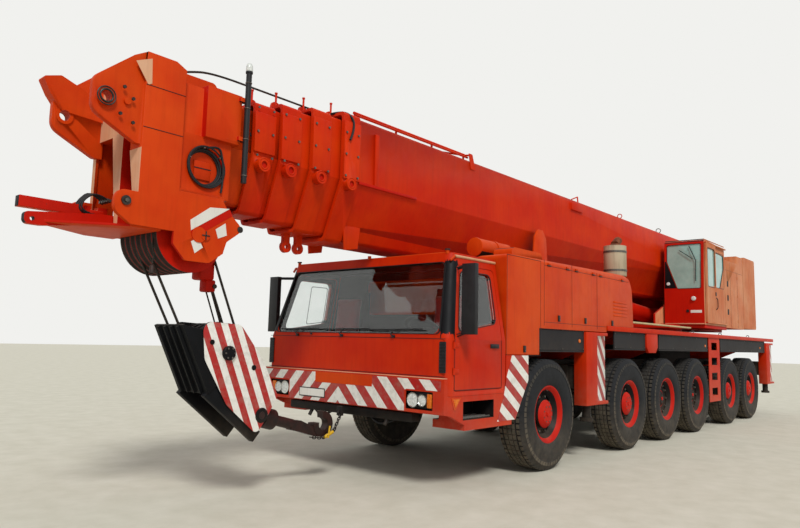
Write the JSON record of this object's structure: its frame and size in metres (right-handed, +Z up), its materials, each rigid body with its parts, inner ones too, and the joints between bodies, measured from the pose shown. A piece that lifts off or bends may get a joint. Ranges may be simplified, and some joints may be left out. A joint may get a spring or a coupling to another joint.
{
  "type": "mobile crane",
  "caption": "Truck-mounted telescopic crane with a carrier cab, slewing upper with crane cab, luffing boom, hook block and outriggers.",
  "frame": {"origin": "middle of the bounding box, on the ground under the tyres", "axes": "+X to the front of the carrier, +Y to its left, +Z up"},
  "size_m": [17.45, 3.4, 4.21],
  "materials": {
    "red_paint": "gloss",
    "grey_paint": "satin",
    "deck_paint": "satin",
    "glazing": "tinted",
    "tyre_rubber": "matte",
    "cast": "rough",
    "rod_chrome": "polished",
    "rope_steel": "greased",
    "lamp_glass": "fluted",
    "seat_fabric": "woven",
    "exhaust_steel": "heat stained"
  },
  "bodies": {
    "carrier": {"chassis_frame": "red_paint", "axle_beams": "cast", "deck": "deck_paint", "side_skirts": "grey_paint", "engine_exhaust": "exhaust_steel", "engine_housing": "red_paint", "carrier_cab": "red_paint", "carrier_cab_glass": "glazing", "carrier_cab_interior": "seat_fabric", "front_bumper": "red_paint", "carrier_lamps": "lamp_glass", "slew_ring": "cast"},
    "upper": {"superstructure": "red_paint", "counterweight": "red_paint", "hoist_winch": "cast", "crane_cab": "red_paint", "crane_cab_glass": "glazing", "crane_cab_seat": "seat_fabric"},
    "crane_door": {"crane_cab_door": "red_paint"},
    "cab_door_left": {"carrier_door_left": "red_paint"},
    "cab_door_right": {"carrier_door_right": "red_paint"},
    "boom": {"boom_base": "red_paint"},
    "section_1": {"boom_section_1": "red_paint"},
    "section_2": {"boom_section_2": "red_paint"},
    "section_3": {"boom_section_3": "red_paint"},
    "head": {"boom_head": "red_paint", "head_sheaves": "cast"},
    "luff_barrel": {"luffing_barrel": "red_paint"},
    "luff_rod": {"luffing_rod": "rod_chrome"},
    "hook": {"hook_block": "red_paint", "hoist_ropes": "rope_steel"},
    "load_hook": {"load_hook": "cast"},
    "wheel_1_left": {"wheel_1_left": "tyre_rubber"},
    "knuckle_1_left": {"knuckle_1_left": "cast"},
    "wheel_1_right": {"wheel_1_right": "tyre_rubber"},
    "knuckle_1_right": {"knuckle_1_right": "cast"},
    "wheel_2_left": {"wheel_2_left": "tyre_rubber"},
    "knuckle_2_left": {"knuckle_2_left": "cast"},
    "wheel_2_right": {"wheel_2_right": "tyre_rubber"},
    "knuckle_2_right": {"knuckle_2_right": "cast"},
    "wheel_3_left": {"wheel_3_left": "tyre_rubber"},
    "wheel_3_right": {"wheel_3_right": "tyre_rubber"},
    "wheel_4_left": {"wheel_4_left": "tyre_rubber"},
    "wheel_4_right": {"wheel_4_right": "tyre_rubber"},
    "wheel_5_left": {"wheel_5_left": "tyre_rubber"},
    "knuckle_5_left": {"knuckle_5_left": "cast"},
    "wheel_5_right": {"wheel_5_right": "tyre_rubber"},
    "knuckle_5_right": {"knuckle_5_right": "cast"},
    "wheel_6_left": {"wheel_6_left": "tyre_rubber"},
    "knuckle_6_left": {"knuckle_6_left": "cast"},
    "wheel_6_right": {"wheel_6_right": "tyre_rubber"},
    "knuckle_6_right": {"knuckle_6_right": "cast"},
    "outrigger_beam_front_left": {"outrigger_beam_front_left": "red_paint"},
    "outrigger_jack_front_left": {"outrigger_jack_front_left": "rod_chrome"},
    "outrigger_beam_front_right": {"outrigger_beam_front_right": "red_paint"},
    "outrigger_jack_front_right": {"outrigger_jack_front_right": "rod_chrome"},
    "outrigger_beam_rear_left": {"outrigger_beam_rear_left": "red_paint"},
    "outrigger_jack_rear_left": {"outrigger_jack_rear_left": "rod_chrome"},
    "outrigger_beam_rear_right": {"outrigger_beam_rear_right": "red_paint"},
    "outrigger_jack_rear_right": {"outrigger_jack_rear_right": "rod_chrome"}
  },
  "joints": [
    {"name": "steer_1_left", "type": "hinge", "parent": "carrier", "child": "knuckle_1_left", "pos_m": [2.955, 0.985, 0.69], "axis": [0, 0, 1], "range_deg": [-25, 25]},
    {"name": "spin_1_left", "type": "hinge", "parent": "knuckle_1_left", "child": "wheel_1_left", "pos_m": [2.955, 1.2675, 0.69], "axis": [0, 1, 0], "continuous": true},
    {"name": "steer_1_right", "type": "hinge", "parent": "carrier", "child": "knuckle_1_right", "pos_m": [2.955, -0.985, 0.69], "axis": [0, 0, 1], "range_deg": [-25, 25]},
    {"name": "spin_1_right", "type": "hinge", "parent": "knuckle_1_right", "child": "wheel_1_right", "pos_m": [2.955, -1.2675, 0.69], "axis": [0, 1, 0], "continuous": true},
    {"name": "steer_2_left", "type": "hinge", "parent": "carrier", "child": "knuckle_2_left", "pos_m": [0.425, 0.985, 0.69], "axis": [0, 0, 1], "range_deg": [-25, 25]},
    {"name": "spin_2_left", "type": "hinge", "parent": "knuckle_2_left", "child": "wheel_2_left", "pos_m": [0.425, 1.2675, 0.69], "axis": [0, 1, 0], "continuous": true},
    {"name": "steer_2_right", "type": "hinge", "parent": "carrier", "child": "knuckle_2_right", "pos_m": [0.425, -0.985, 0.69], "axis": [0, 0, 1], "range_deg": [-25, 25]},
    {"name": "spin_2_right", "type": "hinge", "parent": "knuckle_2_right", "child": "wheel_2_right", "pos_m": [0.425, -1.2675, 0.69], "axis": [0, 1, 0], "continuous": true},
    {"name": "spin_3_left", "type": "hinge", "parent": "carrier", "child": "wheel_3_left", "pos_m": [-1.175, 1.2675, 0.69], "axis": [0, 1, 0], "continuous": true},
    {"name": "spin_3_right", "type": "hinge", "parent": "carrier", "child": "wheel_3_right", "pos_m": [-1.175, -1.2675, 0.69], "axis": [0, 1, 0], "continuous": true},
    {"name": "spin_4_left", "type": "hinge", "parent": "carrier", "child": "wheel_4_left", "pos_m": [-2.775, 1.2675, 0.69], "axis": [0, 1, 0], "continuous": true},
    {"name": "spin_4_right", "type": "hinge", "parent": "carrier", "child": "wheel_4_right", "pos_m": [-2.775, -1.2675, 0.69], "axis": [0, 1, 0], "continuous": true},
    {"name": "steer_5_left", "type": "hinge", "parent": "carrier", "child": "knuckle_5_left", "pos_m": [-4.935, 0.985, 0.69], "axis": [0, 0, 1], "range_deg": [-25, 25]},
    {"name": "spin_5_left", "type": "hinge", "parent": "knuckle_5_left", "child": "wheel_5_left", "pos_m": [-4.935, 1.2675, 0.69], "axis": [0, 1, 0], "continuous": true},
    {"name": "steer_5_right", "type": "hinge", "parent": "carrier", "child": "knuckle_5_right", "pos_m": [-4.935, -0.985, 0.69], "axis": [0, 0, 1], "range_deg": [-25, 25]},
    {"name": "spin_5_right", "type": "hinge", "parent": "knuckle_5_right", "child": "wheel_5_right", "pos_m": [-4.935, -1.2675, 0.69], "axis": [0, 1, 0], "continuous": true},
    {"name": "steer_6_left", "type": "hinge", "parent": "carrier", "child": "knuckle_6_left", "pos_m": [-6.535, 0.985, 0.69], "axis": [0, 0, 1], "range_deg": [-25, 25]},
    {"name": "spin_6_left", "type": "hinge", "parent": "knuckle_6_left", "child": "wheel_6_left", "pos_m": [-6.535, 1.2675, 0.69], "axis": [0, 1, 0], "continuous": true},
    {"name": "steer_6_right", "type": "hinge", "parent": "carrier", "child": "knuckle_6_right", "pos_m": [-6.535, -0.985, 0.69], "axis": [0, 0, 1], "range_deg": [-25, 25]},
    {"name": "spin_6_right", "type": "hinge", "parent": "knuckle_6_right", "child": "wheel_6_right", "pos_m": [-6.535, -1.2675, 0.69], "axis": [0, 1, 0], "continuous": true},
    {"name": "outrigger_front_left", "type": "slide", "parent": "carrier", "child": "outrigger_beam_front_left", "axis": [0, 1, 0], "range_m": [0, 1.7]},
    {"name": "jack_front_left", "type": "slide", "parent": "outrigger_beam_front_left", "child": "outrigger_jack_front_left", "axis": [0, 0, -1], "range_m": [0, 0.6]},
    {"name": "outrigger_front_right", "type": "slide", "parent": "carrier", "child": "outrigger_beam_front_right", "axis": [0, -1, 0], "range_m": [0, 1.7]},
    {"name": "jack_front_right", "type": "slide", "parent": "outrigger_beam_front_right", "child": "outrigger_jack_front_right", "axis": [0, 0, -1], "range_m": [0, 0.6]},
    {"name": "outrigger_rear_left", "type": "slide", "parent": "carrier", "child": "outrigger_beam_rear_left", "axis": [0, 1, 0], "range_m": [0, 1.7]},
    {"name": "jack_rear_left", "type": "slide", "parent": "outrigger_beam_rear_left", "child": "outrigger_jack_rear_left", "axis": [0, 0, -1], "range_m": [0, 0.6]},
    {"name": "outrigger_rear_right", "type": "slide", "parent": "carrier", "child": "outrigger_beam_rear_right", "axis": [0, -1, 0], "range_m": [0, 1.7]},
    {"name": "jack_rear_right", "type": "slide", "parent": "outrigger_beam_rear_right", "child": "outrigger_jack_rear_right", "axis": [0, 0, -1], "range_m": [0, 0.6]},
    {"name": "door_left", "type": "hinge", "parent": "carrier", "child": "cab_door_left", "pos_m": [5.028, 1.475, 1.6], "axis": [0, 0, -1], "range_deg": [0, 65]},
    {"name": "door_right", "type": "hinge", "parent": "carrier", "child": "cab_door_right", "pos_m": [5.028, -1.475, 1.6], "axis": [0, 0, 1], "range_deg": [0, 65]},
    {"name": "slew", "type": "hinge", "parent": "carrier", "child": "upper", "pos_m": [-3.775, 0, 1.93], "axis": [0, 0, 1], "continuous": true},
    {"name": "crane_door_slide", "type": "slide", "parent": "upper", "child": "crane_door", "axis": [-1, 0, 0], "range_m": [0, 0.6]},
    {"name": "boom_luff", "type": "hinge", "parent": "upper", "child": "boom", "pos_m": [-5.475, 0, 3.48], "axis": [0, -1, 0], "range_deg": [0, 80]},
    {"name": "telescope_1", "type": "slide", "parent": "boom", "child": "section_1", "axis": [1, 0, 0], "range_m": [0, 9]},
    {"name": "telescope_2", "type": "slide", "parent": "section_1", "child": "section_2", "axis": [1, 0, 0], "range_m": [0, 9]},
    {"name": "telescope_3", "type": "slide", "parent": "section_2", "child": "section_3", "axis": [1, 0, 0], "range_m": [0, 9]},
    {"name": "telescope_4", "type": "slide", "parent": "section_3", "child": "head", "axis": [1, 0, 0], "range_m": [0, 9]},
    {"name": "luff_barrel_pivot", "type": "hinge", "parent": "upper", "child": "luff_barrel", "pos_m": [-4.325, 0, 2.25], "axis": [0, -1, 0], "range_deg": [0, 79.66]},
    {"name": "luff_rod_slide", "type": "slide", "parent": "luff_barrel", "child": "luff_rod", "axis": [0.9975, 0, 0.071], "range_m": [0, 2.1665]},
    {"name": "hook_hang", "type": "hinge", "parent": "head", "child": "hook", "pos_m": [7.445, 0, 2.44], "axis": [0, -1, 0], "range_deg": [-80, 0]},
    {"name": "hook_tilt", "type": "hinge", "parent": "hook", "child": "load_hook", "pos_m": [6.525, 0, 0.8], "axis": [0, -1, 0], "range_deg": [0, 49.91]}
  ],
  "couplings": [
    {"joint": "steer_1_right", "follows": "steer_1_left", "ratio": 1},
    {"joint": "steer_2_left", "follows": "steer_1_left", "ratio": 0.8},
    {"joint": "steer_2_right", "follows": "steer_1_left", "ratio": 0.8},
    {"joint": "steer_5_left", "follows": "steer_6_left", "ratio": 0.6},
    {"joint": "steer_5_right", "follows": "steer_6_left", "ratio": 0.6},
    {"joint": "steer_6_right", "follows": "steer_6_left", "ratio": 1},
    {"joint": "telescope_2", "follows": "telescope_1", "ratio": 1},
    {"joint": "telescope_3", "follows": "telescope_1", "ratio": 1},
    {"joint": "telescope_4", "follows": "telescope_1", "ratio": 1},
    {"joint": "luff_barrel_pivot", "follows": "boom_luff", "ratio": 0.99512},
    {"joint": "luff_rod_slide", "follows": "boom_luff", "m_per_rad": 1.5502},
    {"joint": "hook_hang", "follows": "boom_luff", "ratio": -0.679},
    {"joint": "hook_tilt", "follows": "boom_luff", "ratio": 0.6232}
  ]
}
